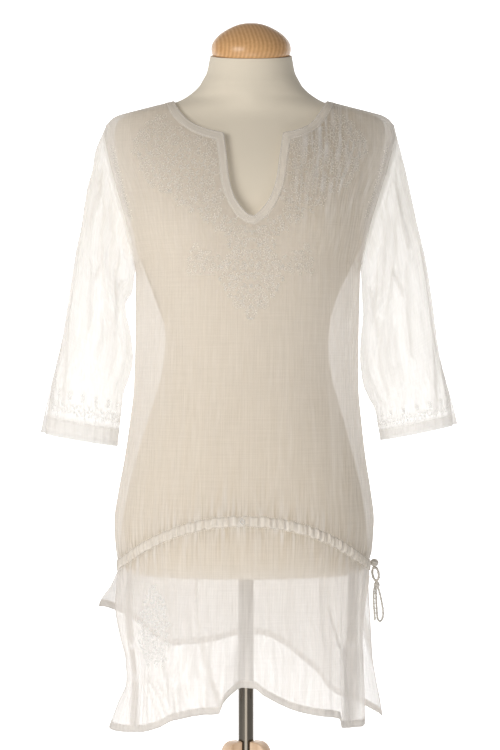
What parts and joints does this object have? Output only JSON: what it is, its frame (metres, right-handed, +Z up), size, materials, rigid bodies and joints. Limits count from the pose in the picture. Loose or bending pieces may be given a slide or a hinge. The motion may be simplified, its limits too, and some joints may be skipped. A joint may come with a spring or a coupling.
{
  "type": "tunic blouse on a dress form",
  "caption": "Sheer, embroidered three-quarter-sleeve tunic blouse with a notched round neck and a hip drawstring, worn by a limbless dress form on a wooden tripod",
  "frame": {"origin": "middle of the bounding box of everything but the drawstring's loose ends, at floor level", "axes": "X to the wearer's left, which is the viewer's right; -Y is the front; Z up"},
  "size_m": [0.5948, 0.4352, 1.5188],
  "materials": {
    "voile": "thin white cotton voile, slightly see-through",
    "cord": "rolled cotton cord",
    "jersey": "stretched beige jersey over a rigid shell",
    "beech": "satin varnish",
    "chrome": "polished chrome plate"
  },
  "bodies": {
    "root": {"form_torso": "jersey", "neck_cap": "beech", "pole": "chrome", "stand_hub": "beech", "leg_1": "beech", "leg_2": "beech", "leg_3": "beech", "front_panel": "voile", "back_panel": "voile", "sleeve_left": "voile", "sleeve_right": "voile", "neck_band": "voile", "casing_front": "voile", "casing_back": "voile", "tie_knot_upper": "cord", "tie_knot_lower": "cord", "tie_bow": "cord", "tie_loop": "cord", "tie_end": "cord"}
  },
  "joints": []
}
